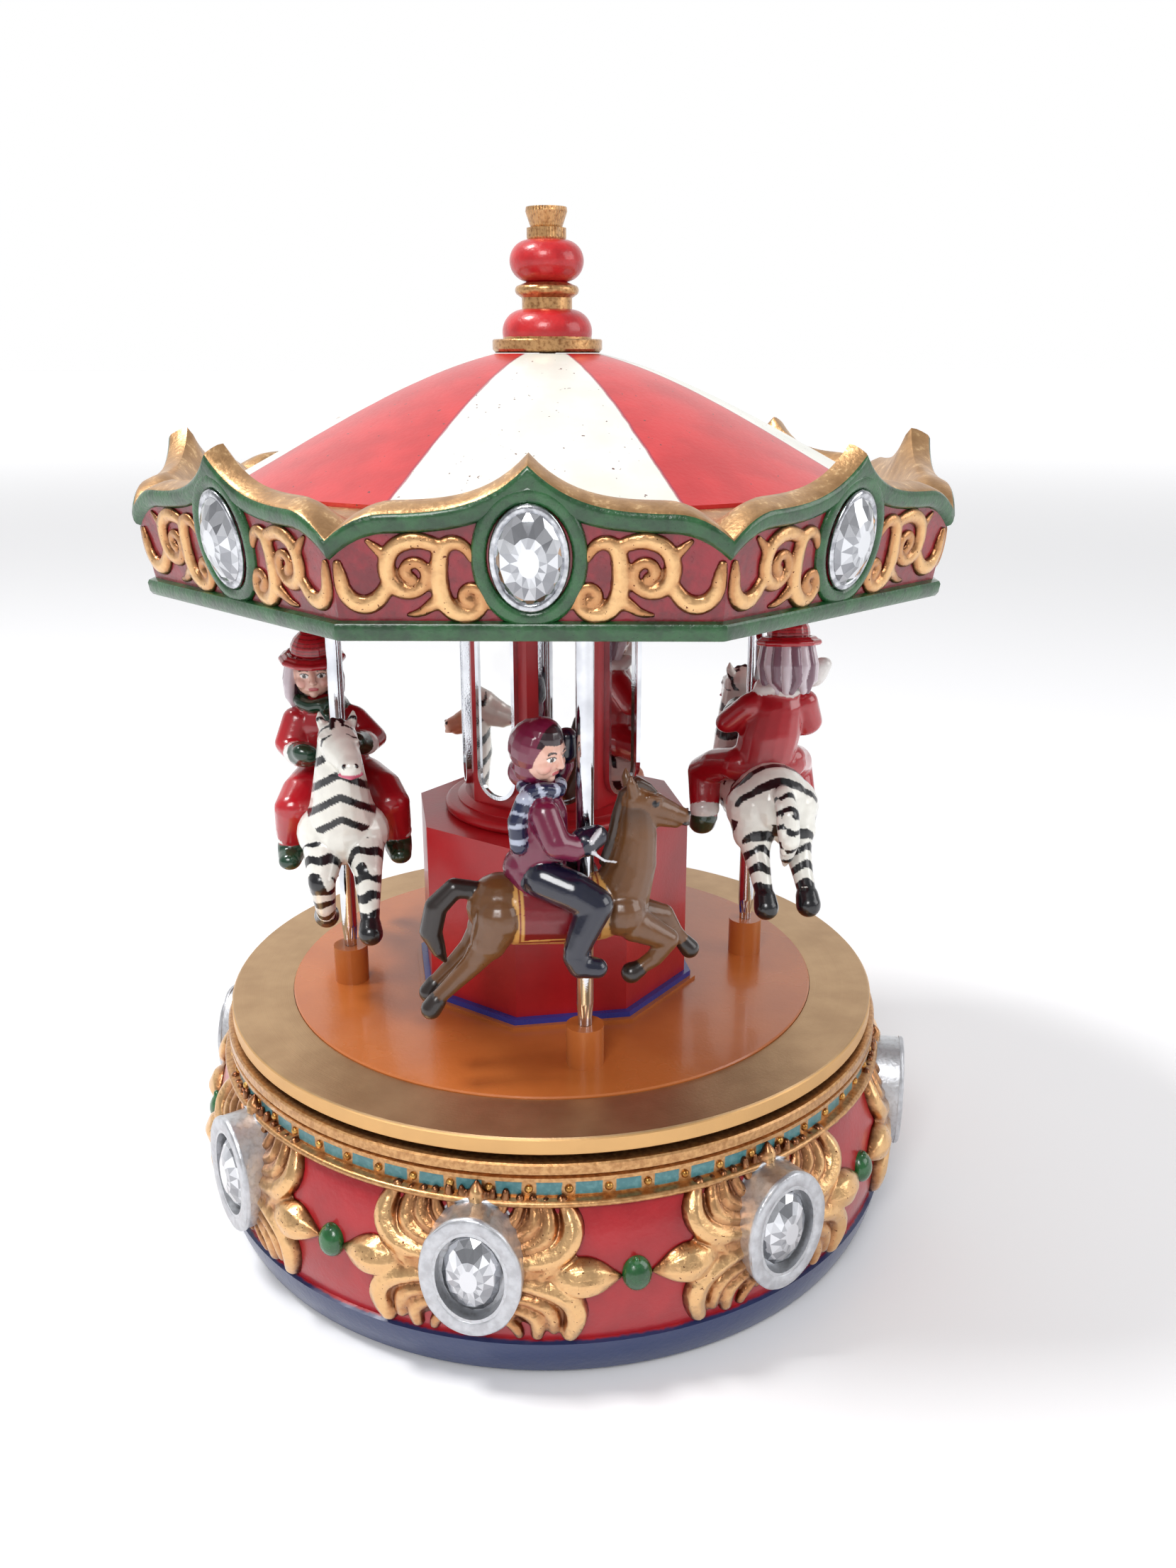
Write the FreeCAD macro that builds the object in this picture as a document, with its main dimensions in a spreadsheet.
import FreeCAD, Part
import math
import os
import Sketcher
from FreeCAD import Placement, Rotation, Vector

# A wind-up carousel music box.  Millimetres, +Z up.  The origin is the middle of the base, at the
# surface that it stands on.  The four poles stand on the X and Y axes: the front one is at -Y.

doc = FreeCAD.newDocument("carousel_music_box")
sheet = doc.addObject("Spreadsheet::Sheet", "Sizes")

SIZES = {
    # base
    "foot_height": 1.0, "foot_radius": 2.6, "foot_circle": 63.2,
    "base_foot_radius": 66.9, "base_plinth_top": 8.2, "base_plinth_radius": 69.2,
    "base_shoulder_radius": 65.8, "base_shoulder_top": 33.2,
    "base_frieze_radius": 65.4, "base_frieze_bottom": 34.6, "base_frieze_top": 37.6,
    "base_lip_radius": 66.0, "base_top": 41.0, "base_roof_bottom": 38.6, "base_inner_radius": 60.0,
    "bezel_face_radius": 72.2, "bezel_seat_radius": 66.0, "bezel_well_radius": 69.6,
    "bezel_half_width": 8.6, "bezel_half_height": 11.2, "well_half_width": 5.9, "well_half_height": 8.1,
    "bezel_middle": 23.0, "bezel_turn": -19.1,
    "gem_half_width": 5.0, "gem_half_height": 7.0, "gem_rise": 2.4,
    # bottom cover and key recess
    "cover_bottom": 9.5, "cover_thick": 1.5, "cover_radius": 59.5, "cover_hole": 6.0,
    "cover_post_circle": 54.5, "cover_post_radius": 4.0, "cover_post_height": 12.0,
    "cover_screw_radius": 1.25,
    # movement
    "bedplate_thick": 2.0, "bed_screw_radius": 1.0, "journal_radius": 0.8, "bearing_gap": 0.05,
    "ratchet_radius": 7.0, "ratchet_thick": 1.2, "ratchet_teeth": 12,
    "arbor_radius": 2.0, "barrel_bottom": 15.2, "barrel_radius": 16.6, "barrel_wall": 1.0,
    "barrel_top": 24.6, "crown_teeth": 40, "gear_module": 0.75, "pinion_teeth": 15,
    "fine_module": 0.5, "wheel_teeth": 24, "governor_teeth": 10, "worm_wheel_teeth": 20,
    "cylinder_radius": 6.0, "cylinder_start": 19.6, "cylinder_length": 19.0, "pin_rise": 0.55,
    "worm_pitch_radius": 1.55, "governor_drop": 2.2,
    # turntable
    "spindle_radius": 2.5, "turntable_bottom": 42.0, "turntable_radius": 65.0, "turntable_top": 45.2,
    "deck_radius": 52.9, "deck_top": 45.65, "deck_bottom": 43.6,
    "pole_circle": 41.2, "pole_radius": 1.55, "pole_tip_radius": 1.2, "boss_radius": 3.4, "boss_top": 53.2,
    "pad_top": 46.2, "plinth_corner": 27.6, "plinth_top": 81.1, "skirt_corner": 28.9, "skirt_top": 47.3,
    "plinth_wall": 2.6, "column_face": 15.9, "column_corner": 16.75, "column_bottom": 84.6,
    "moulding_radius": 20.2, "column_top": 128.8,
    "mirror_half_width": 4.6, "mirror_bottom": 86.2, "mirror_top": 127.4, "mirror_thick": 0.9,
    "rod_radius": 1.5, "rod_top": 180.0,
    # canopy
    "canopy_turn": -10.2, "ceiling_bottom": 128.8, "ceiling_thick": 2.0, "ceiling_radius": 63.6,
    "crown_bottom": 127.4, "crown_bottom_corner": 71.5, "crown_valley": 142.2,
    "crown_valley_corner": 74.1, "crown_peak": 152.5, "crown_bore": 57.9, "crown_inner_top": 144.7,
    "crown_gem_height": 139.6,
    "dome_rim_radius": 57.8, "dome_rim_bottom": 142.6, "dome_thick": 3.0, "dome_top": 167.0,
    "flange_radius": 9.9, "flange_top": 169.3, "finial_top": 191.3,
}


class Formula:
    """A size worked out from the sheet: its text goes into expressions, its number into code."""

    def __init__(self, text, number):
        self.text, self.number = text, float(number)

    def __add__(self, other):
        return joined(self, "+", other)

    def __sub__(self, other):
        return joined(self, "-", other)

    def __rsub__(self, other):
        return joined(other, "-", self)

    def __mul__(self, other):
        return joined(self, "*", other)

    def __truediv__(self, other):
        return joined(self, "/", other)

    def __float__(self):
        return self.number

    __radd__ = __add__
    __rmul__ = __mul__


def joined(left, sign, right):
    left, right = formula(left), formula(right)
    a, b = left.number, right.number
    number = {"+": a + b, "-": a - b, "*": a * b, "/": a / b if b else 0.0}[sign]
    return Formula(f"({left.text} {sign} {right.text})", number)


def formula(value):
    return value if isinstance(value, Formula) else Formula(f"{float(value):.6f}", value)


class Sheet:
    """size.deck_radius is the sheet's deck_radius as a Formula."""

    def __getattr__(self, name):
        return Formula("Sizes." + name, SIZES[name])


size = Sheet()
for row, (alias, number) in enumerate(SIZES.items(), start=1):
    sheet.set(f"A{row}", alias.replace("_", " "))
    sheet.set(f"B{row}", str(number))
    sheet.setAlias(f"B{row}", alias)
doc.recompute()

PARTS = []


def subpart(thing):
    """Count a finished object as a sub-part, named by its Label."""
    PARTS.append(thing)
    return thing


def bind(thing, field, value):
    """Tie a field of an object to a formula, so that it follows the sheet."""
    thing.setExpression(field, formula(value).text)


def around(count, start=0.0):
    return [start + 360.0 * index / count for index in range(count)]


def polar(radius, angle):
    """A point at this angle from the front (-Y), measured towards +X."""
    turn = math.radians(angle)
    return radius * math.sin(turn), -1 * radius * math.cos(turn)


# ---------------------------------------------------------------- bodies made from sketches

def new_body(name, turn=0.0):
    body = doc.addObject("PartDesign::Body", name)
    body.Label = name
    body.Placement = Placement(Vector(), Rotation(Vector(0, 0, 1), turn))
    return subpart(body)


def origin_feature(body, role):
    return next(item for item in body.Origin.OriginFeatures if item.Role == role)


def new_sketch(body, role="XY_Plane", offset=0.0):
    sketch = body.newObject("Sketcher::SketchObject", body.Name + "_sketch")
    sketch.AttachmentSupport = [(origin_feature(body, role), "")]
    sketch.MapMode = "FlatFace"
    bind(sketch, ".AttachmentOffset.Base.z", offset)
    return sketch


def pin_point(sketch, geometry, end, x, y):
    """Hold one end of a sketch edge at x, y."""
    for kind, value, axis in (("DistanceX", x, -2), ("DistanceY", y, -1)):
        if abs(float(value)) < 1e-9:
            sketch.addConstraint(Sketcher.Constraint("PointOnObject", geometry, end, axis))
            continue
        index = sketch.addConstraint(Sketcher.Constraint(kind, -1, 1, geometry, end, float(value)))
        bind(sketch, f"Constraints[{index}]", value)


def draw_outline(sketch, corners):
    """A closed outline. A corner is (x, y), or (x, y, rise) where an arc of that rise follows it."""
    ends = []
    for index, corner in enumerate(corners):
        x0, y0 = float(corner[0]), float(corner[1])
        after = corners[(index + 1) % len(corners)]
        x1, y1 = float(after[0]), float(after[1])
        rise = corner[2] if len(corner) == 3 else 0.0
        start, finish = Vector(x0, y0, 0), Vector(x1, y1, 0)
        if not rise:
            geometry = sketch.addGeometry(Part.LineSegment(start, finish), False)
            ends.append((geometry, 1, 2))
            continue
        chord = finish - start
        outward = Vector(chord.y, -chord.x, 0).normalize()
        arc = Part.Arc(start, (start + finish) * 0.5 + outward * rise, finish)
        geometry = sketch.addGeometry(arc, False)
        flipped = (sketch.getPoint(geometry, 1) - start).Length > 1e-6
        ends.append((geometry, 2, 1) if flipped else (geometry, 1, 2))
    for index, corner in enumerate(corners):
        geometry, head, _ = ends[index]
        before, _, tail = ends[index - 1]
        sketch.addConstraint(Sketcher.Constraint("Coincident", before, tail, geometry, head))
        pin_point(sketch, geometry, head, corner[0], corner[1])


def draw_circle(sketch, x, y, radius):
    centre = Vector(float(x), float(y), 0)
    geometry = sketch.addGeometry(Part.Circle(centre, Vector(0, 0, 1), float(radius)), False)
    pin_point(sketch, geometry, 3, x, y)
    index = sketch.addConstraint(Sketcher.Constraint("Radius", geometry, float(radius)))
    bind(sketch, f"Constraints[{index}]", radius)


def draw_ellipse(sketch, y, half_width, half_height):
    """An upright oval on the sketch's Y axis."""
    middle = Vector(0, float(y), 0)
    tall, wide = float(half_height), float(half_width)
    oval = Part.Ellipse(middle + Vector(0, tall, 0), middle + Vector(wide, 0, 0), middle)
    geometry = sketch.addGeometry(oval, False)
    sketch.exposeInternalGeometry(geometry)
    pin_point(sketch, geometry, 3, 0, y)
    sketch.addConstraint(Sketcher.Constraint("Vertical", geometry + 1))
    for line, value in ((geometry + 1, half_height), (geometry + 2, half_width)):
        index = sketch.addConstraint(Sketcher.Constraint("Distance", line, float(value) * 2))
        bind(sketch, f"Constraints[{index}]", value * 2)


def revolve(body, corners, kind="PartDesign::Revolution"):
    sketch = new_sketch(body, "XZ_Plane")
    draw_outline(sketch, corners)
    feature = body.newObject(kind, body.Name + "_turned")
    feature.Profile = sketch
    feature.ReferenceAxis = (sketch, ["V_Axis"])
    feature.Angle = 360
    return feature


def extrude(body, sketch, length, kind="PartDesign::Pad", away=False):
    feature = body.newObject(kind, body.Name + "_" + kind[12:].lower())
    feature.Profile = sketch
    feature.Reversed = away
    bind(feature, "Length", length)
    return feature


def repeat(body, feature, count):
    """Repeat a feature round the Z axis."""
    doc.recompute()
    pattern = body.newObject("PartDesign::PolarPattern", body.Name + "_round")
    pattern.Originals = [feature]
    pattern.Axis = (origin_feature(body, "Z_Axis"), [""])
    pattern.Angle = 360
    pattern.Occurrences = count
    body.Tip = pattern
    doc.recompute()


def turned_body(name, corners, turn=0.0):
    body = new_body(name, turn)
    revolve(body, corners)
    return body


def polygon(sides, corner_radius, first=0.0):
    return [(corner_radius * math.sin(math.radians(a)), corner_radius * -math.cos(math.radians(a)))
            for a in around(sides, first)]


# ---------------------------------------------------------------- primitives and coded shapes

def cylinder(name, radius, height, x=0.0, y=0.0, z=0.0):
    thing = doc.addObject("Part::Cylinder", name)
    bind(thing, "Radius", radius)
    bind(thing, "Height", height)
    for axis, value in (("x", x), ("y", y), ("z", z)):
        bind(thing, f".Placement.Base.{axis}", value)
    return thing


def group(name, things):
    compound = doc.addObject("Part::Compound", name)
    compound.Label = name
    compound.Links = things
    return subpart(compound)


def coded(name, shape):
    """A sub-part whose shape is worked out with Part's own functions."""
    thing = doc.addObject("Part::Feature", name)
    thing.Label = name
    thing.Shape = shape
    return subpart(thing)


def tube(inner, outer, height, at=Vector(), axis=Vector(0, 0, 1)):
    solid = Part.makeCylinder(outer, height, at, axis)
    return solid.cut(Part.makeCylinder(inner, height, at, axis)) if inner else solid


def box(low, high):
    low, high = Vector(*low), Vector(*high)
    spread = high - low
    return Part.makeBox(spread.x, spread.y, spread.z, low)


def fused(shapes):
    return shapes[0].multiFuse(shapes[1:]).removeSplitter()


def screw(at, radius, length, head_radius, head_height, axis=Vector(0, 0, 1)):
    """A pan-head screw with a slot. The head's seat is at the point, and axis runs down the shank."""
    shank = Part.makeCylinder(radius, length, at, axis)
    head = Part.makeCylinder(head_radius, head_height, at - axis * head_height, axis)
    slot = box((-head_radius, -0.25, -head_height - 1), (head_radius, 0.25, -head_height * 0.5))
    slot.Placement = Placement(at, Rotation(Vector(0, 0, 1), axis))
    return fused([shank, head]).cut(slot)


# ---------------------------------------------------------------- base

def make_base():
    floor = size.foot_height
    cast = turned_body("base_casting", [
        (size.base_inner_radius, floor),
        (size.base_foot_radius, floor, 0.35),
        (size.base_plinth_radius, size.base_plinth_top),
        (size.base_plinth_radius - 0.9, size.base_plinth_top + 0.4, 2.1),
        (size.base_shoulder_radius, size.base_shoulder_top),
        (size.base_shoulder_radius + 0.8, size.base_shoulder_top + 0.1, 0.55),
        (size.base_shoulder_radius + 0.8, size.base_frieze_bottom - 0.1),
        (size.base_frieze_radius, size.base_frieze_bottom),
        (size.base_frieze_radius, size.base_frieze_top),
        (size.base_frieze_radius + 0.6, size.base_frieze_top + 0.1),
        (size.base_frieze_radius + 0.6, size.base_frieze_top + 0.8),
        (size.base_frieze_radius - 0.4, size.base_frieze_top + 1.1),
        (size.base_lip_radius, size.base_top - 1.9),
        (size.base_lip_radius, size.base_top - 0.3),
        (size.base_lip_radius - 0.3, size.base_top),
        (size.spindle_radius + 1.5, size.base_top),
        (size.spindle_radius + 1.5, size.base_roof_bottom),
        (size.base_inner_radius - 3.0, size.base_roof_bottom),
        (size.base_inner_radius, size.base_roof_bottom - 3.0),
    ], SIZES["bezel_turn"])
    raised = new_sketch(cast, "XZ_Plane", size.bezel_seat_radius)
    draw_ellipse(raised, size.bezel_middle, size.bezel_half_width, size.bezel_half_height)
    bezel = extrude(cast, raised, size.bezel_face_radius - size.bezel_seat_radius)
    repeat(cast, bezel, 8)
    sunk = new_sketch(cast, "XZ_Plane", size.bezel_face_radius)
    draw_ellipse(sunk, size.bezel_middle, size.well_half_width, size.well_half_height)
    well = extrude(cast, sunk, size.bezel_face_radius - size.bezel_well_radius, "PartDesign::Pocket")
    repeat(cast, well, 8)
    post_foot = size.cover_bottom + size.cover_thick
    post_sketch = new_sketch(cast, "XY_Plane", post_foot)
    draw_outline(post_sketch, [
        (-1 * size.cover_post_radius, size.cover_post_circle, SIZES["cover_post_radius"]),
        (size.cover_post_radius, size.cover_post_circle),
        (size.cover_post_radius, size.cover_post_circle + 6.4),
        (-1 * size.cover_post_radius, size.cover_post_circle + 6.4)])
    repeat(cast, extrude(cast, post_sketch, size.cover_post_height), 3)
    hole_sketch = new_sketch(cast, "XY_Plane", post_foot)
    draw_circle(hole_sketch, 0, size.cover_post_circle, size.cover_screw_radius)
    repeat(cast, extrude(cast, hole_sketch, size.cover_post_height - 3, "PartDesign::Pocket", True), 3)

    gems = []
    for angle in around(8, SIZES["bezel_turn"]):
        gems.append(oval_gem(f"base_gem_{len(gems)}", angle, SIZES["bezel_well_radius"],
                             SIZES["bezel_middle"], 0.0))
    group("base_gems", gems)

    feet = []
    for angle in around(4, 45.0):
        x, y = polar(SIZES["foot_circle"], angle)
        feet.append(cylinder("foot", size.foot_radius, size.foot_height, x, y, 0.0))
    group("rubber_feet", feet)

    cover = new_body("bottom_cover")
    plan = new_sketch(cover, "XY_Plane", size.cover_bottom)
    draw_circle(plan, 0, 0, size.cover_radius)
    draw_circle(plan, 0, 0, size.cover_hole)
    posts = around(3, SIZES["bezel_turn"] + 180)
    for angle in posts:
        x, y = polar(SIZES["cover_post_circle"], angle)
        draw_circle(plan, x, y, size.cover_screw_radius + 0.2)
    for x, y in BED_HOLES:
        draw_circle(plan, x, y, size.bed_screw_radius)
    extrude(cover, plan, size.cover_thick)

    screws = [screw(Vector(*polar(SIZES["cover_post_circle"], angle), SIZES["cover_bottom"]),
                    SIZES["cover_screw_radius"], 9.0, 2.5, 1.4) for angle in posts]
    coded("bottom_cover_screws", Part.makeCompound(screws))

    outer = size.spindle_radius + 1.5
    inner = size.spindle_radius + size.bearing_gap
    turned_body("spindle_bush", [
        (inner, size.base_roof_bottom - 0.6), (outer - 0.02, size.base_roof_bottom - 0.6),
        (outer - 0.02, size.base_top), (outer + 2.0, size.base_top), (outer + 2.0, size.base_top + 0.4),
        (inner, size.base_top + 0.4)])


def oval_gem(name, angle, seat_radius, height, lean):
    """One oval stone: the outer half of an ellipsoid, its flat back at the seat radius."""
    gem = doc.addObject("Part::Ellipsoid", name)
    bind(gem, "Radius1", size.gem_rise)
    bind(gem, "Radius2", size.gem_half_width)
    bind(gem, "Radius3", size.gem_half_height)
    gem.Angle1 = 0
    upright = Rotation(Vector(1, 0, 0), 90 + lean)
    outward = Rotation(Vector(0, 0, 1), angle)
    gem.Placement = Placement(Vector(*polar(seat_radius, angle), height), outward * upright)
    return gem


# ---------------------------------------------------------------- winding side of the movement

BED = SIZES["cover_bottom"] + SIZES["cover_thick"]
BED_TOP = BED + SIZES["bedplate_thick"]
MODULE, FINE = SIZES["gear_module"], SIZES["fine_module"]
PINION_RADIUS = MODULE * SIZES["pinion_teeth"] / 2
CROWN_RADIUS = MODULE * SIZES["crown_teeth"] / 2
TOOTH_RISE = 0.85
AXLE_HEIGHT = SIZES["barrel_top"] + MODULE * 1.15 + PINION_RADIUS + 0.05
WHEEL_X = 41.4
WORM_X = 47.2
GEAR_CENTRES = FINE * (SIZES["wheel_teeth"] + SIZES["governor_teeth"]) / 2 + 0.06
GOVERNOR_Z = AXLE_HEIGHT - SIZES["governor_drop"]
GOVERNOR_Y = -math.sqrt(GEAR_CENTRES ** 2 - SIZES["governor_drop"] ** 2)
WORM_WHEEL_RADIUS = FINE * SIZES["worm_wheel_teeth"] / 2
WORM_Y = GOVERNOR_Y - WORM_WHEEL_RADIUS - SIZES["worm_pitch_radius"] - 0.05
EAST = Vector(1, 0, 0)
CLICK_FIXING = Vector(-13.5, -13.0, BED_TOP)
BED_HOLES = [(-15.0, 19.0), (-17.0, -6.0), (48.0, 19.5), (33.0, -15.0)]


def toothed_face(teeth, module, thin=0.84, rise=TOOTH_RISE, depth=1.2):
    """The flat outline of an involute gear round Z, with a tooth on +X. Thin teeth leave backlash."""
    pitch, tip, root = module * teeth / 2, module * (teeth / 2 + rise), module * (teeth / 2 - depth)
    base = pitch * math.cos(math.radians(20))

    def half_angle(radius):
        def involute(at):
            slope = math.acos(min(1.0, base / at))
            return math.tan(slope) - slope
        return math.pi / 2 / teeth * thin + involute(pitch) - involute(max(radius, base))

    radii = [root, max(root, base * 0.995)] + [base + (tip - base) * part for part in (0.35, 0.7, 1.0)]
    corners = []
    for index in range(teeth):
        middle = 2 * math.pi * index / teeth
        flank = [(radius, half_angle(radius)) for radius in radii]
        for radius, spread in [(r, -s) for r, s in flank] + flank[::-1]:
            corners.append(Vector(radius * math.cos(middle + spread), radius * math.sin(middle + spread), 0))
    return Part.Face(Part.makePolygon(corners + corners[:1]))


def gear(teeth, module, thick, hole, phase=0.0, **shape):
    """An involute gear round Z from z = 0, turned by phase degrees."""
    solid = toothed_face(teeth, module, **shape).extrude(Vector(0, 0, thick))
    solid.rotate(Vector(), Vector(0, 0, 1), phase)
    return solid.cut(Part.makeCylinder(hole, thick))


def laid_along_x(solid, x, y, z):
    """Turn a solid made round +Z so that it lies round +X, with its own +X pointing up (+Z)."""
    laid = solid.copy()
    laid.Placement = Placement(FreeCAD.Matrix(0, 0, 1, x, 0, -1, 0, y, 1, 0, 0, z))
    return laid


def make_winding():
    hole = size.arbor_radius + size.bearing_gap
    drum_inner = size.barrel_radius - size.barrel_wall
    floor_top = size.barrel_bottom + 1.0
    teeth_root = size.barrel_top
    turned_body("spring_barrel", [
        (hole, size.barrel_bottom), (size.barrel_radius, size.barrel_bottom),
        (size.barrel_radius, teeth_root - 1.2), (drum_inner, teeth_root - 1.2),
        (drum_inner, floor_top), (hole, floor_top)])

    ring = tube(6.0, SIZES["barrel_radius"], 1.2, Vector(0, 0, SIZES["barrel_top"] - 1.2))
    pitch_height = MODULE * 1.15
    tooth_top = pitch_height + MODULE * TOOTH_RISE
    half_pitch = math.pi * MODULE / 4 * 0.8
    slope = math.tan(math.radians(20))
    root_half, tip_half = half_pitch + pitch_height * slope, half_pitch - MODULE * TOOTH_RISE * slope
    section = [Vector(14.1, -root_half, 0), Vector(14.1, root_half, 0),
               Vector(14.1, tip_half, tooth_top), Vector(14.1, -tip_half, tooth_top)]
    tooth = Part.Face(Part.makePolygon(section + section[:1])).extrude(Vector(1.8, 0, 0))
    tooth.translate(Vector(0, 0, SIZES["barrel_top"]))
    teeth = []
    for angle in around(SIZES["crown_teeth"], 180.0 / SIZES["crown_teeth"]):
        turned = tooth.copy()
        turned.rotate(Vector(), Vector(0, 0, 1), angle)
        teeth.append(turned)
    coded("crown_wheel", ring.multiFuse(teeth))

    turned_body("drive_spindle", [
        (0, size.barrel_bottom + 5.2), (4.6, size.barrel_bottom + 5.2),
        (4.6, size.barrel_top - 1.2), (6.0, size.barrel_top - 1.2), (6.0, size.barrel_top),
        (size.spindle_radius, size.barrel_top), (size.spindle_radius, size.deck_top),
        (size.rod_radius, size.deck_top), (size.rod_radius, size.deck_top - 8),
        (0, size.deck_top - 8)])

    coded("mainspring", spiral_strip(2.9, SIZES["barrel_radius"] - SIZES["barrel_wall"], 8, 0.28,
                                     SIZES["barrel_bottom"] + 1.15, 3.8))

    turned_body("winding_arbor", [
        (0, 2.4), (size.arbor_radius - 0.3, 2.4), (size.arbor_radius - 0.3, 8.8),
        (size.arbor_radius, 8.8), (size.arbor_radius, size.barrel_bottom + 1.1),
        (2.6, size.barrel_bottom + 1.1), (2.6, size.barrel_bottom + 4.9), (0, size.barrel_bottom + 4.9)])

    ratchet_z = SIZES["barrel_bottom"] - 0.5 - SIZES["ratchet_thick"]
    coded("ratchet_wheel", ratchet(ratchet_z))
    coded("click_spring", click(ratchet_z))
    coded("winding_key", key())


def spiral_strip(inner, outer, coils, thick, bottom, height):
    """A flat spiral strip of half-circles, whose centres alternate, from the arbor to the drum."""
    step = (outer - thick - inner) / (coils * 2)

    def spiral(start):
        edges, radius, centre = [], start, 0.0
        for half in range(coils * 2):
            side = 1 if half % 2 == 0 else -1
            first = Vector(centre + side * radius, 0, 0)
            last = Vector(centre - side * radius, 0, 0)
            edges.append(Part.Arc(first, Vector(centre, side * radius, 0), last).toShape())
            centre += side * step / 2
            radius += step / 2
        return edges
    low, high = spiral(inner), spiral(inner + thick)
    ends = [Part.makeLine(low[0].firstVertex().Point, high[0].firstVertex().Point),
            Part.makeLine(low[-1].lastVertex().Point, high[-1].lastVertex().Point)]
    outline = Part.Wire(Part.__sortEdges__(low + high + ends))
    strip = Part.Face(outline).extrude(Vector(0, 0, height))
    strip.translate(Vector(0, 0, bottom))
    return strip


def ratchet(bottom):
    """A saw-toothed wheel that may turn anticlockwise, seen from above, past its click."""
    teeth, tip = int(SIZES["ratchet_teeth"]), SIZES["ratchet_radius"]
    corners = []
    for angle in around(teeth):
        for radius, lead in ((tip, 0.0), (tip - 1.3, 1.5)):
            x, y = polar(radius, angle + lead)
            corners.append(Vector(x, y, bottom))
    wheel = Part.Face(Part.makePolygon(corners + corners[:1])).extrude(Vector(0, 0, SIZES["ratchet_thick"]))
    return wheel.cut(Part.makeCylinder(SIZES["arbor_radius"], 5, Vector(0, 0, bottom - 1)))


def click(level):
    """A bent strip of spring steel on the bedplate. Its tip stands just clear of the ratchet's teeth."""
    level += 0.1
    foot = Part.makeCylinder(2.6, 0.5, CLICK_FIXING)
    heel = CLICK_FIXING + Vector(-2.3, 0.9, 0)
    riser = box((heel.x - 0.3, heel.y - 1.2, heel.z), (heel.x + 0.3, heel.y + 1.2, level + 1.0))
    start, tip = Vector(heel.x - 0.3, heel.y + 0.7, level), Vector(*polar(7.25, 332.0), level)
    along = (tip - start).normalize()
    side = Vector(along.y, -along.x, 0) * 0.5
    strip = Part.Face(Part.makePolygon([start, tip, tip + side, start + side, start])).extrude(Vector(0, 0, 1))
    return fused([foot, riser, strip]).cut(Part.makeCylinder(0.85, 3, CLICK_FIXING))


def key():
    """The winding key under the base: a threaded hub and a bent flat bow with two rounded wings."""
    hub = tube(SIZES["arbor_radius"] - 0.3, 3.2, 5.6, Vector(0, 0, 3.0))
    wings = []
    for side in (-1, 1):
        plate = box((2.9 * side, -0.6, 2.2), (12.5 * side, 0.6, 8.4)) if side > 0 else \
            box((12.5 * side, -0.6, 2.2), (2.9 * side, 0.6, 8.4))
        corner = Part.makeCylinder(3.1, 1.2, Vector(12.0 * side, 0.6, 5.3), Vector(0, -1, 0))
        wings += [plate, corner]
    return fused([hub] + wings)


# ---------------------------------------------------------------- playing side of the movement

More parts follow.
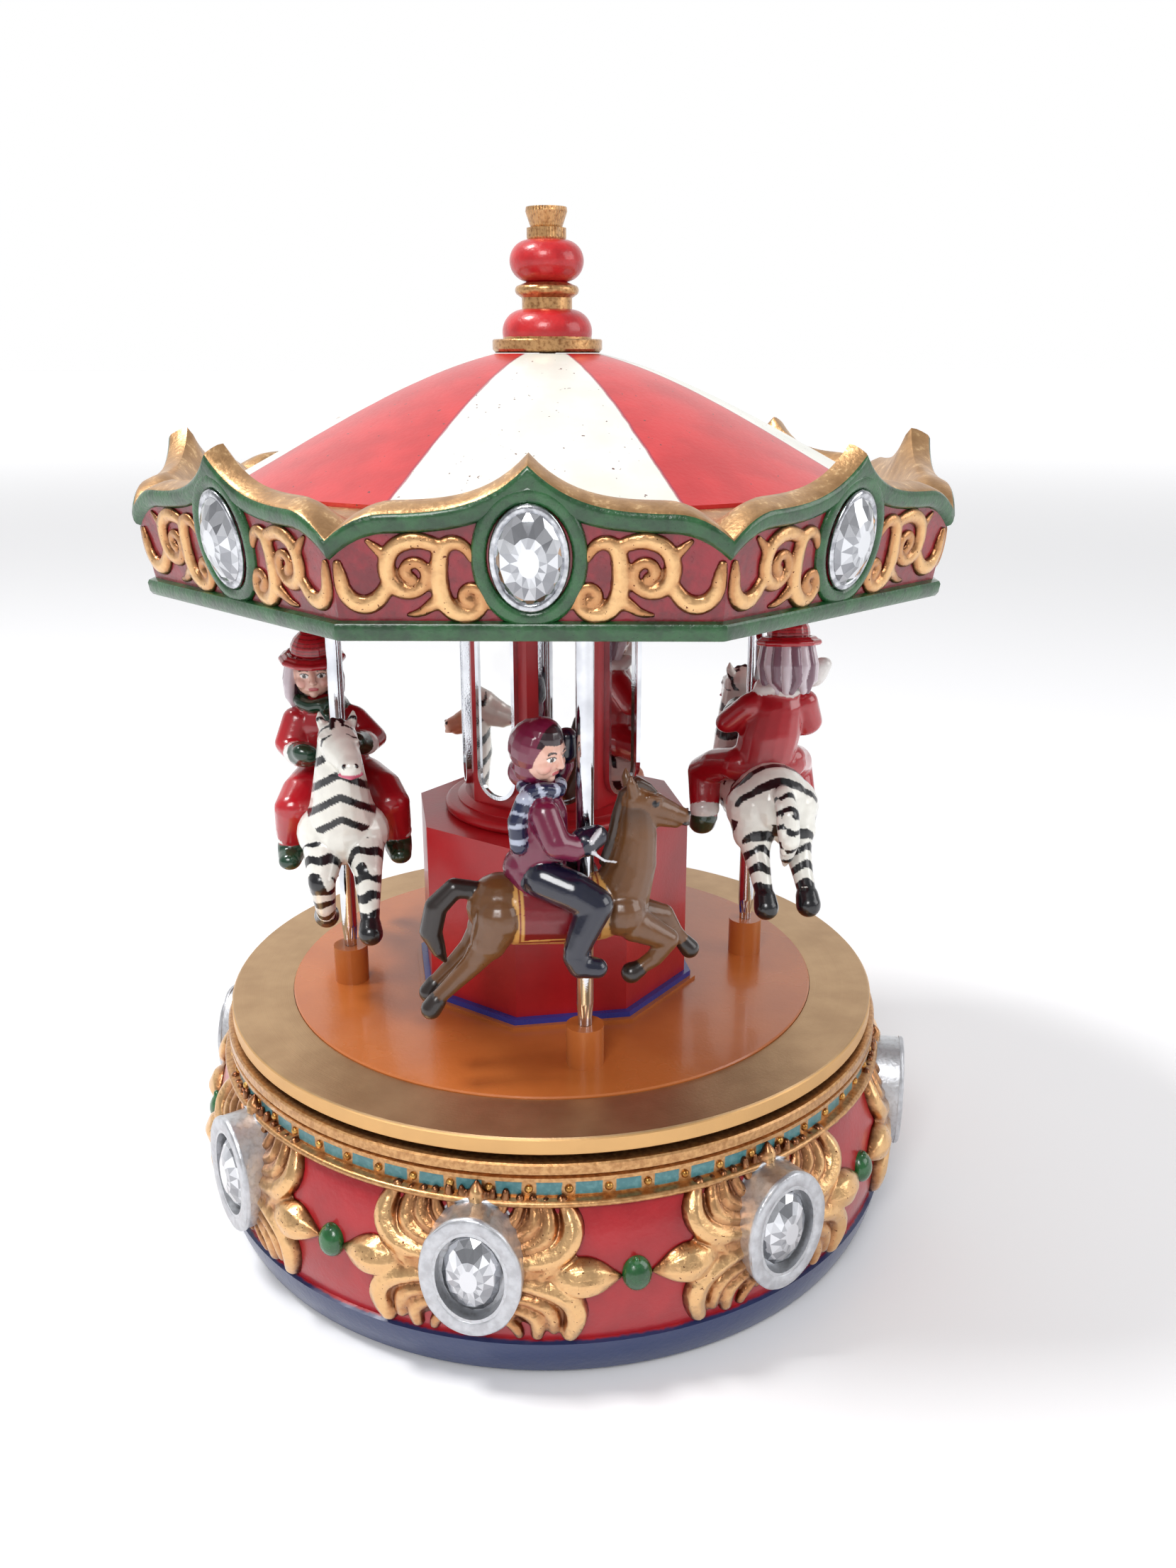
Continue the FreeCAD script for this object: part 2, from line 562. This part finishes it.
def make_player():
    bore = SIZES["journal_radius"] + SIZES["bearing_gap"]
    journal = SIZES["journal_radius"]
    start, length = SIZES["cylinder_start"], SIZES["cylinder_length"]

    plate = box((-20, -19, BED), (53, 24, BED_TOP))
    plate = plate.common(Part.makeCylinder(56, 10, Vector(0, 0, BED)))
    plate = plate.cut(Part.makeCylinder(SIZES["arbor_radius"] + SIZES["bearing_gap"], 9, Vector(0, 0, BED - 1)))
    posts = []
    for low_x, high_x in ((17.4, 19.0), (43.4, 45.0)):
        post = box((low_x, -2.2, BED_TOP), (high_x, 2.2, AXLE_HEIGHT))
        posts += [post, Part.makeCylinder(2.2, high_x - low_x, Vector(low_x, 0, AXLE_HEIGHT), EAST)]
    ledge = box((start, 13.0, BED_TOP), (start + length, 21.5, AXLE_HEIGHT - 1.0))
    bed = fused([plate] + posts + [ledge])
    bed = bed.cut(Part.makeCylinder(bore, 40, Vector(15, 0, AXLE_HEIGHT), EAST))
    comb_holes = [(start + 4.0, 17.5), (start + length - 4.0, 17.5)]
    for x, y in comb_holes:
        bed = bed.cut(Part.makeCylinder(0.8, 6, Vector(x, y, AXLE_HEIGHT - 7.0)))
    for x, y in BED_HOLES:
        bed = bed.cut(Part.makeCylinder(1.05, 9, Vector(x, y, BED - 1)))
    bed = bed.cut(Part.makeCylinder(0.8, 9, CLICK_FIXING - Vector(0, 0, 5)))
    coded("movement_bedplate", bed)
    screws = [screw(Vector(x, y, BED_TOP), SIZES["bed_screw_radius"], 4.2, 2.0, 0.9, Vector(0, 0, -1)) for x, y in BED_HOLES]
    coded("movement_screws", Part.makeCompound(screws))
    coded("click_screw", screw(CLICK_FIXING + Vector(0, 0, 0.5), 0.8, 2.4, 1.6, 0.7, Vector(0, 0, -1)))

    comb = box((start, 6.85, AXLE_HEIGHT - 1.0), (start + length, 21.5, AXLE_HEIGHT + 0.2))
    comb = comb.cut(box((start - 1, 6.0, AXLE_HEIGHT - 0.35), (start + length + 1, 12.5, AXLE_HEIGHT + 1)))
    pitch = length / 18
    for index in range(1, 18):
        slit = start + pitch * index
        comb = comb.cut(box((slit - 0.12, 6.0, AXLE_HEIGHT - 2), (slit + 0.12, 13.5 - index * 0.12,
                                                                    AXLE_HEIGHT + 1)))
    for x, y in comb_holes:
        comb = comb.cut(Part.makeCylinder(0.95, 6, Vector(x, y, AXLE_HEIGHT - 4)))
    coded("music_comb", comb)
    screws = [screw(Vector(x, y, AXLE_HEIGHT + 0.2), 0.8, 5.0, 1.7, 0.9, Vector(0, 0, -1))
              for x, y in comb_holes]
    coded("comb_screws", Part.makeCompound(screws))

    drum = tube(1.5, SIZES["cylinder_radius"], length, Vector(start, 0, AXLE_HEIGHT), EAST)
    pins = []
    for track in range(18):
        x = start + pitch * (track + 0.5)
        for beat in range(4):
            turn = math.radians(90 * beat + (track * 37) % 80 + 8)
            away = Vector(0, math.cos(turn), math.sin(turn))
            foot = Vector(x, 0, AXLE_HEIGHT) + away * (SIZES["cylinder_radius"] - 0.5)
            pins.append(Part.makeCylinder(0.17, SIZES["pin_rise"] + 0.5, foot, away))
    coded("pinned_cylinder", drum.multiFuse(pins))
    arbor = Part.makeCylinder(1.5, length + 1.4, Vector(start - 0.4, 0, AXLE_HEIGHT), EAST)
    ends = Part.makeCylinder(journal, 32.4, Vector(13.8, 0, AXLE_HEIGHT), EAST)
    hub = Part.makeCylinder(1.5, 3.1, Vector(start + length, 0, AXLE_HEIGHT), EAST)
    coded("cylinder_arbor", fused([arbor, ends, hub]))
    pinion = gear(int(SIZES["pinion_teeth"]), MODULE, 2.6, journal, 180.0)
    coded("cylinder_pinion", laid_along_x(pinion, 14.2, 0, AXLE_HEIGHT))
    wheel = gear(int(SIZES["wheel_teeth"]), FINE, 1.4, 1.5)
    coded("cylinder_wheel", laid_along_x(wheel, WHEEL_X - 0.7, 0, AXLE_HEIGHT))


def mesh_phase(own_teeth, other_teeth, direction, other_phase):
    """The turn that puts a gap of this gear where the other gear has a tooth, along a line of centres.

    Both gears have a tooth at their own zero angle. direction is the angle from the other gear's
    middle to this one's, both measured the same way.
    """
    other_position = (direction - other_phase) * other_teeth / 360.0
    own_position = 0.5 - other_position
    return direction + 180.0 - own_position * 360.0 / own_teeth


def make_governor():
    journal, bore = SIZES["journal_radius"], SIZES["journal_radius"] + SIZES["bearing_gap"]
    toward = math.degrees(math.atan2(-GOVERNOR_Y, -SIZES["governor_drop"]))
    phase = mesh_phase(int(SIZES["governor_teeth"]), int(SIZES["wheel_teeth"]), toward, 0.0)
    pinion = gear(int(SIZES["governor_teeth"]), FINE, 2.0, journal, phase)
    arbor = Part.makeCylinder(journal, 12.2, Vector(38.2, GOVERNOR_Y, GOVERNOR_Z), EAST)
    coded("governor_pinion", laid_along_x(pinion, WHEEL_X - 1.0, GOVERNOR_Y, GOVERNOR_Z))
    coded("governor_arbor", arbor)
    worm_wheel = gear(int(SIZES["worm_wheel_teeth"]), FINE, 1.0, journal,
                      90.0, thin=0.8, rise=0.7, depth=1.3)
    coded("worm_wheel", laid_along_x(worm_wheel, WORM_X - 0.5, GOVERNOR_Y, GOVERNOR_Z))

    lead = math.pi * FINE
    shaft_bottom, thread_bottom = GOVERNOR_Z - 5.6, GOVERNOR_Z - lead * 1.75
    worm = worm_thread(1.1, SIZES["worm_pitch_radius"] + 0.35, lead, 4, thread_bottom)
    shaft = Part.makeCylinder(journal, 13.2, Vector(WORM_X, WORM_Y, shaft_bottom))
    coded("governor_worm", fused([worm, shaft]))
    fan_bottom = GOVERNOR_Z + 5.8
    hub = tube(journal, 1.6, 1.8, Vector(WORM_X, WORM_Y, fan_bottom))
    blades = [box((WORM_X + low, WORM_Y - 0.25, fan_bottom), (WORM_X + high, WORM_Y + 0.25, fan_bottom + 1.8))
              for low, high in ((-4.4, -1.3), (1.3, 4.4))]
    coded("governor_fly", fused([hub] + blades))

    back = WORM_Y - 4.2
    foot = box((38.9, back, BED_TOP), (50.4, WORM_Y + 1.6, BED_TOP + 1.2))
    arm_bottom, arm_top = GOVERNOR_Z + 4.6, GOVERNOR_Z + 5.5
    wall = box((WORM_X - 3.2, back, BED_TOP), (WORM_X + 3.2, back + 1.2, arm_top))
    low_arm = box((WORM_X - 2, back, shaft_bottom - 0.9), (WORM_X + 2, WORM_Y + 2, shaft_bottom + 1.2))
    high_arm = box((WORM_X - 2, back, arm_bottom), (WORM_X + 2, WORM_Y + 1.4, arm_top))
    cheeks = []
    for x in (38.9, 49.2):
        cheeks.append(box((x, WORM_Y, BED_TOP), (x + 1.2, GOVERNOR_Y + 2.0, GOVERNOR_Z)))
        cheeks.append(box((x, GOVERNOR_Y - 2.0, GOVERNOR_Z), (x + 1.2, GOVERNOR_Y + 2.0, GOVERNOR_Z + 2.0)))
    bracket = fused([foot, wall, low_arm, high_arm] + cheeks)
    bracket = bracket.cut(Part.makeCylinder(bore, 14, Vector(38, GOVERNOR_Y, GOVERNOR_Z), EAST))
    bracket = bracket.cut(Part.makeCylinder(bore, 14, Vector(WORM_X, WORM_Y, shaft_bottom - 0.05)))
    fixing = Vector(42.6, WORM_Y - 1.6, BED_TOP + 1.2)
    bracket = bracket.cut(Part.makeCylinder(0.95, 4, fixing - Vector(0, 0, 2)))
    coded("governor_bracket", bracket)
    coded("governor_screw", screw(fixing, 0.8, 1.2, 1.7, 0.8, Vector(0, 0, -1)))


def worm_thread(root, tip, lead, turns, bottom):
    """A single right-hand worm thread round the worm's axis."""
    helix = Part.makeHelix(lead, lead * turns, root)
    low, high = lead * 0.26, lead * 0.12
    section = [Vector(root - 0.1, 0, -low), Vector(root - 0.1, 0, low),
               Vector(tip, 0, high), Vector(tip, 0, -high)]
    ridge = Part.Wire([helix]).makePipeShell([Part.makePolygon(section + section[:1])], True, True)
    core = Part.makeCylinder(root, lead * (turns + 1), Vector(0, 0, -lead / 2))
    worm = core.fuse(ridge)
    worm.translate(Vector(WORM_X, WORM_Y, bottom))
    return worm


# ---------------------------------------------------------------- turntable and column

def make_turntable():
    disc_top, rim = size.turntable_top, size.turntable_radius
    turned_body("turntable_disc", [
        (size.spindle_radius + 0.02, size.turntable_bottom), (rim - 0.3, size.turntable_bottom),
        (rim, size.turntable_bottom + 0.3), (rim, disc_top - 0.4), (rim - 0.4, disc_top),
        (size.deck_radius + 0.1, disc_top), (size.deck_radius + 0.1, size.deck_bottom),
        (size.spindle_radius + 0.02, size.deck_bottom)])

    deck = turned_body("deck_disc", [
        (size.spindle_radius + 0.02, size.deck_bottom), (size.deck_radius, size.deck_bottom),
        (size.deck_radius, size.deck_top - 0.25), (size.deck_radius - 0.25, size.deck_top),
        (size.spindle_radius + 0.02, size.deck_top)])
    boss_sketch = new_sketch(deck, "XY_Plane", size.deck_top)
    draw_circle(boss_sketch, 0, -1 * size.pole_circle, size.boss_radius)
    repeat(deck, extrude(deck, boss_sketch, size.boss_top - size.deck_top), 4)
    hole_sketch = new_sketch(deck, "XY_Plane", size.boss_top)
    draw_circle(hole_sketch, 0, -1 * size.pole_circle, size.pole_tip_radius)
    repeat(deck, extrude(deck, hole_sketch, 6.0, "PartDesign::Pocket"), 4)
    pad_sketch = new_sketch(deck, "XY_Plane", size.deck_top)
    draw_outline(pad_sketch, polygon(8, size.skirt_corner + 1.0, 22.5))
    draw_circle(pad_sketch, 0, 0, size.spindle_radius + 0.02)
    extrude(deck, pad_sketch, size.pad_top - size.deck_top)

    skirt = new_body("plinth_skirt")
    plan = new_sketch(skirt, "XY_Plane", size.pad_top)
    draw_outline(plan, polygon(8, size.skirt_corner, 22.5))
    draw_outline(plan, polygon(8, size.plinth_corner + 0.02, 22.5))
    extrude(skirt, plan, size.skirt_top - size.pad_top)

    plinth = new_body("column_plinth")
    plan = new_sketch(plinth, "XY_Plane", size.pad_top)
    draw_outline(plan, polygon(8, size.plinth_corner, 22.5))
    extrude(plinth, plan, size.plinth_top - size.pad_top)
    hollow = new_sketch(plinth, "XY_Plane", size.pad_top)
    draw_outline(hollow, polygon(8, size.plinth_corner - size.plinth_wall, 22.5))
    extrude(plinth, hollow, size.plinth_top - size.pad_top - size.plinth_wall,
            "PartDesign::Pocket", True)
    doc.recompute()
    bore = new_sketch(plinth, "XY_Plane", size.plinth_top)
    draw_circle(bore, 0, 0, size.rod_radius + 0.15)
    extrude(plinth, bore, size.plinth_wall + 2, "PartDesign::Pocket")

    turned_body("column_moulding", [
        (size.rod_radius + 0.15, size.plinth_top), (size.moulding_radius, size.plinth_top, 0.9),
        (size.moulding_radius, size.plinth_top + 2.1), (size.moulding_radius - 1.6, size.plinth_top + 2.3),
        (size.moulding_radius - 1.6, size.plinth_top + 2.6),
        (size.column_corner + 0.3, size.column_bottom), (size.rod_radius + 0.15, size.column_bottom)])

    core = new_body("column_core")
    plan = new_sketch(core, "XY_Plane", size.column_bottom)
    draw_outline(plan, polygon(8, size.column_corner / math.cos(math.radians(22.5)) - 0.9, 22.5))
    draw_circle(plan, 0, 0, size.rod_radius + 0.15)
    extrude(core, plan, size.column_top - size.column_bottom)
    trough = new_sketch(core, "XZ_Plane", 30.0)
    lower = size.mirror_bottom + size.mirror_half_width
    upper = size.mirror_top - size.mirror_half_width
    across = SIZES["mirror_half_width"]
    draw_outline(trough, [
        (-1 * size.mirror_half_width, lower, across), (size.mirror_half_width, lower),
        (size.mirror_half_width, upper, across), (-1 * size.mirror_half_width, upper)])
    depth = 30.0 - size.column_face
    repeat(core, extrude(core, trough, depth, "PartDesign::Pocket"), 8)

    coded("column_mirrors", mirror_set(0.0, 0.75))
    frames = mirror_set(0.75, 0.0, SIZES["mirror_thick"] + 0.35)
    coded("mirror_frames", frames)

    coded("tie_rod", fused([
        Part.makeCylinder(SIZES["rod_radius"], SIZES["rod_top"] - SIZES["deck_top"] + 8,
                          Vector(0, 0, SIZES["deck_top"] - 8))]))


def stadium(half_width, low, high, shrink):
    """An upright slot shape in the XZ plane."""
    half = half_width - shrink
    low, high = low + half_width, high - half_width
    corners = [Vector(-half, 0, low), Vector(half, 0, low), Vector(half, 0, high), Vector(-half, 0, high)]
    return Part.Wire([
        Part.Arc(corners[0], Vector(0, 0, low - half), corners[1]).toShape(),
        Part.makeLine(corners[1], corners[2]),
        Part.Arc(corners[2], Vector(0, 0, high + half), corners[3]).toShape(),
        Part.makeLine(corners[3], corners[0])])


def mirror_set(ring_width, shrink, thick=None):
    """Eight strips, or eight rings where ring_width is given, in the column's troughs."""
    shape = (SIZES["mirror_half_width"] - 0.02, SIZES["mirror_bottom"] + 0.02, SIZES["mirror_top"] - 0.02)
    face = Part.Face(stadium(*shape, shrink))
    if ring_width:
        face = face.cut(Part.Face(stadium(*shape, ring_width)))
    strip = face.extrude(Vector(0, -(thick or SIZES["mirror_thick"]), 0))
    strip.translate(Vector(0, -SIZES["column_face"], 0))
    strips = []
    for angle in around(8):
        turned = strip.copy()
        turned.rotate(Vector(), Vector(0, 0, 1), angle)
        strips.append(turned)
    return Part.makeCompound(strips)


# ---------------------------------------------------------------- canopy

def crown_rise(part):
    """The crown's edge, from 0 at a valley to 1 at a peak: a shoulder, then an upward sweep."""
    shoulder = 1 - (1 - min(part / 0.3, 1)) ** 2
    return 0.36 * shoulder + 0.64 * part ** 4.5


def octagon_wire(corner, height):
    points = [Vector(*polar(corner, angle), height) for angle in around(8, 22.5)]
    return Part.makePolygon(points + points[:1])


def make_canopy():
    low, valley, peak = SIZES["crown_bottom"], SIZES["crown_valley"], SIZES["crown_peak"]
    flare = (SIZES["crown_valley_corner"] - SIZES["crown_bottom_corner"]) / (valley - low)
    top = peak + 1
    flared = Part.makeLoft([octagon_wire(SIZES["crown_bottom_corner"], low),
                            octagon_wire(SIZES["crown_bottom_corner"] + flare * (top - low), top)], True, True)
    bore, inner_top = SIZES["crown_bore"], SIZES["crown_inner_top"]
    ring_outline = [Vector(bore, 0, low), Vector(90, 0, low), Vector(90, 0, valley - 2.4),
                    Vector(bore, 0, inner_top)]
    ring = Part.Face(Part.makePolygon(ring_outline + ring_outline[:1])).revolve(Vector(), Vector(0, 0, 1), 360)
    half = SIZES["crown_valley_corner"] * math.sin(math.radians(22.5))
    samples = 9
    edge = [Vector(half * (part / samples - 1), 0, valley + (peak - valley) * crown_rise(part / samples))
            for part in range(samples + 1)]
    other = [Vector(-point.x, 0, point.z) for point in edge]
    sweep, back = Part.BSplineCurve(), Part.BSplineCurve()
    sweep.interpolate(edge)
    back.interpolate(other[::-1])
    foot_left, foot_right = Vector(-half, 0, valley - 6), Vector(half, 0, valley - 6)
    outline = Part.Wire([sweep.toShape(), back.toShape(), Part.makeLine(other[0], foot_right),
                         Part.makeLine(foot_right, foot_left), Part.makeLine(foot_left, edge[0])])
    lug = Part.Face(outline).extrude(Vector(0, -30, 0))
    lug.translate(Vector(0, -61.5, 0))
    lugs = []
    for angle in around(8):
        turned = lug.copy()
        turned.rotate(Vector(), Vector(0, 0, 1), angle)
        lugs.append(turned.common(flared))
    crown = flared.common(ring).multiFuse(lugs)
    crown = crown.cut(tube(bore + 3.0, 63.5, 9.0, Vector(0, 0, low + SIZES["ceiling_thick"] + 1.4)))
    crown = crown.cut(Part.makeCylinder(SIZES["ceiling_radius"] + 0.05, SIZES["ceiling_thick"] + 1.4,
                                        Vector(0, 0, low)))
    crown.rotate(Vector(), Vector(0, 0, 1), SIZES["canopy_turn"])
    coded("canopy_crown", crown)

    gems = []
    lean = math.degrees(math.atan(flare * math.cos(math.radians(22.5))))
    height = SIZES["crown_gem_height"]
    seat = (SIZES["crown_bottom_corner"] + flare * (height - low)) * math.cos(math.radians(22.5))
    for angle in around(8, SIZES["canopy_turn"]):
        gems.append(oval_gem(f"crown_gem_{len(gems)}", angle, seat + 0.02, height, lean))
    group("crown_gems", gems)

    ceiling = new_body("canopy_ceiling")
    plan = new_sketch(ceiling, "XY_Plane", size.ceiling_bottom)
    draw_circle(plan, 0, 0, size.ceiling_radius)
    draw_circle(plan, 0, 0, size.rod_radius + 0.15)
    for angle in around(4):
        x, y = polar(SIZES["pole_circle"], angle)
        draw_circle(plan, x, y, size.pole_radius + 0.02)
    extrude(ceiling, plan, size.ceiling_thick)

    rim, thick = size.dome_rim_radius, size.dome_thick
    bottom = size.dome_rim_bottom
    turned_body("canopy_dome", [
        (size.rod_radius + 0.15, size.dome_top), (size.flange_radius, size.dome_top - 0.2, -1.2),
        (42.0, 153.9, -0.3), (rim, bottom + 2.7), (rim, bottom), (rim - 0.1, bottom - 12.0 + 0.2),
        (rim - thick, bottom - 12.0 + 0.2), (rim - thick, bottom + 1.0),
        (42.0, 153.9 - 3.3), (size.flange_radius, size.dome_top - 3.4),
        (size.rod_radius + 0.15, size.dome_top - 3.4)], SIZES["canopy_turn"])
    make_finial()


def make_finial():
    bottom, flange_top, top = size.dome_top, size.flange_top, size.finial_top
    turned_body("finial", [
        (0, top), (3.6, top), (3.7, top - 0.7), (2.8, top - 3.3), (3.5, top - 3.4), (3.5, top - 5.0),
        (3.4, top - 5.3, -3.1), (3.6, top - 12.3), (5.4, top - 13.0, -0.3), (5.4, top - 14.4),
        (4.5, top - 15.0), (4.5, top - 16.9, -1.3), (8.0, flange_top + 0.5), (8.0, flange_top),
        (size.flange_radius - 0.2, flange_top), (size.flange_radius, flange_top - 0.2),
        (size.flange_radius, bottom + 0.6), (size.flange_radius - 0.5, bottom),
        (size.rod_radius, bottom), (size.rod_radius, size.rod_top), (0, size.rod_top)])


# ---------------------------------------------------------------- poles, animals and riders

def limb(joints):
    """A rounded limb through (x, y, z, radius) joints."""
    solids = []
    for x, y, z, radius in joints:
        solids.append(Part.makeSphere(radius * 1.02, Vector(x, y, z)))
    for first, last in zip(joints, joints[1:]):
        start, finish = Vector(*first[:3]), Vector(*last[:3])
        along = finish - start
        if abs(first[3] - last[3]) < 1e-6:
            solids.append(Part.makeCylinder(first[3], along.Length, start, along))
        else:
            solids.append(Part.makeCone(first[3], last[3], along.Length, start, along))
    return solids


BARREL_OF_BODY = [(-15.2, 0, 75.2, 5.6), (-4, 0, 74.6, 5.7), (6.2, 0, 74.4, 5.5)]


def animal_solid(hole):
    """A galloping horse or zebra round its pole hole. It heads +X, and its pole runs up the Z axis."""
    pieces = limb(BARREL_OF_BODY)
    pieces += limb([(6.6, 0, 76.5, 4.6), (8.6, 0, 85.0, 3.2), (8.4, 0, 92.6, 2.7)])
    pieces += limb([(8.4, 0, 93.0, 2.9), (12.0, 0, 92.2, 2.6), (16.2, 0, 90.4, 1.7)])
    pieces += limb([(-19.2, 0, 78.0, 1.5), (-23.6, 0, 76.4, 1.5), (-25.6, 0, 71.5, 1.5), (-24.6, 0, 67.6, 1.1)])
    for side in (-1, 1):
        pieces += limb([(7.6, 1.4 * side, 95.0, 0.9), (7.4, 1.9 * side, 97.2, 0.5)])
        pieces += limb([(-15.6, 2.4 * side, 74.0, 4.2), (-18.4, 3.0 * side, 68.4, 2.4),
                        (-22.6, 3.0 * side, 63.4, 1.5), (-27.0, 3.0 * side, 58.4, 1.5)])
    pieces += limb([(7.0, -2.6, 72.6, 3.6), (14.2, -3.2, 68.2, 1.9), (11.4, -3.0, 64.6, 1.4),
                    (8.6, -3.0, 62.6, 1.5)])
    pieces += limb([(7.0, 2.6, 72.6, 3.6), (14.8, 3.2, 70.2, 1.9), (17.0, 3.2, 66.0, 1.4),
                    (18.8, 3.2, 63.4, 1.5)])
    return fused([piece.cut(hole) for piece in pieces])


def rider_solid(hat, hole):
    """A seated rider astride, facing +X, with both mittens at the pole."""
    pieces = limb([(-7.6, 0, 83.4, 4.2), (-7.4, 0, 88.6, 4.3), (-7.2, 0, 93.2, 3.4)])
    pieces += limb([(-7.4, 0, 102.4, 5.0), (-7.4, 0, 97.0, 2.6)])
    for side in (-1, 1):
        pieces += limb([(-6.8, 2.6 * side, 82.6, 3.0), (0.0, 7.0 * side, 77.4, 2.9),
                        (-3.0, 7.6 * side, 69.4, 2.3), (-1.4, 7.6 * side, 66.8, 1.9)])
        pieces += limb([(-7.0, 3.7 * side, 91.6, 2.4), (-4.6, 6.0 * side, 86.8, 2.1),
                        (-1.6, 3.6 * side, 87.6, 2.2)])
    if hat:
        pieces.append(Part.makeCylinder(5.6, 1.0, Vector(-7.4, 0, 104.2)))
        pieces.append(Part.makeCylinder(4.6, 4.0, Vector(-7.4, 0, 104.4)))
    saddle = fused(limb([(x, y, z, radius + 0.05) for x, y, z, radius in BARREL_OF_BODY]))
    seat = [hole, saddle]
    trimmed = [piece.cut(seat) if piece.BoundBox.ZMin < 90 else piece for piece in pieces]
    rider = trimmed[0].multiFuse([piece for piece in trimmed[1:] if piece.Volume > 0.01])
    return max(rider.Solids, key=lambda solid: solid.Volume)


def make_riders():
    clear = SIZES["pole_radius"] + 0.02
    reach = SIZES["column_top"] + 3.0
    hole = Part.makeCylinder(clear, 90, Vector(0, 0, 45))
    animal = animal_solid(hole)
    riders = {hat: rider_solid(hat, hole) for hat in (False, True)}
    places = (("front", "brown_horse", 0, False, 1.5), ("right", "right_zebra", 90, True, 8.5),
              ("back", "tan_horse", 180, True, -3.0), ("left", "left_zebra", 270, True, 5.5))
    for side, name, angle, hat, lift in places:
        spot = Placement(Vector(*polar(SIZES["pole_circle"], angle), 0), Rotation(Vector(0, 0, 1), angle))
        mount, rider = animal.copy(), riders[hat].copy()
        mount.Placement = Placement(spot.Base + Vector(0, 0, lift), spot.Rotation)
        rider.Placement = mount.Placement
        coded(name, mount)
        coded("rider_" + side, rider)
        foot = Vector(0, 0, SIZES["boss_top"])
        taper = Part.makeCone(SIZES["pole_tip_radius"], SIZES["pole_radius"], 4, foot)
        pole = Part.makeCylinder(SIZES["pole_radius"], reach - foot.z - 4, foot + Vector(0, 0, 4))
        tip = Part.makeCylinder(SIZES["pole_tip_radius"], 6, foot - Vector(0, 0, 6))
        rod = fused([pole, taper, tip])
        rod.Placement = spot
        coded("pole_" + side, rod)


def check_and_export():
    doc.recompute()
    for thing in doc.Objects:
        if "Invalid" in thing.State or "Error" in thing.State:
            raise RuntimeError(f"{thing.Name} failed: {thing.State}")
    os.makedirs("parts", exist_ok=True)
    for thing in PARTS:
        shape = thing.Shape
        if shape.isNull() or not shape.isValid() or not shape.Solids:
            raise RuntimeError(f"{thing.Label} has no valid solid")
        shape.exportStep(os.path.join("parts", thing.Label + ".step"))
        low, high = shape.BoundBox.ZMin, shape.BoundBox.ZMax
        print(f"{thing.Label}: {len(shape.Solids)} solid(s), {shape.Volume:.1f} mm3, z {low:.2f} to {high:.2f}")


make_base()
make_winding()
make_player()
make_governor()
make_turntable()
make_canopy()
make_riders()
check_and_export()
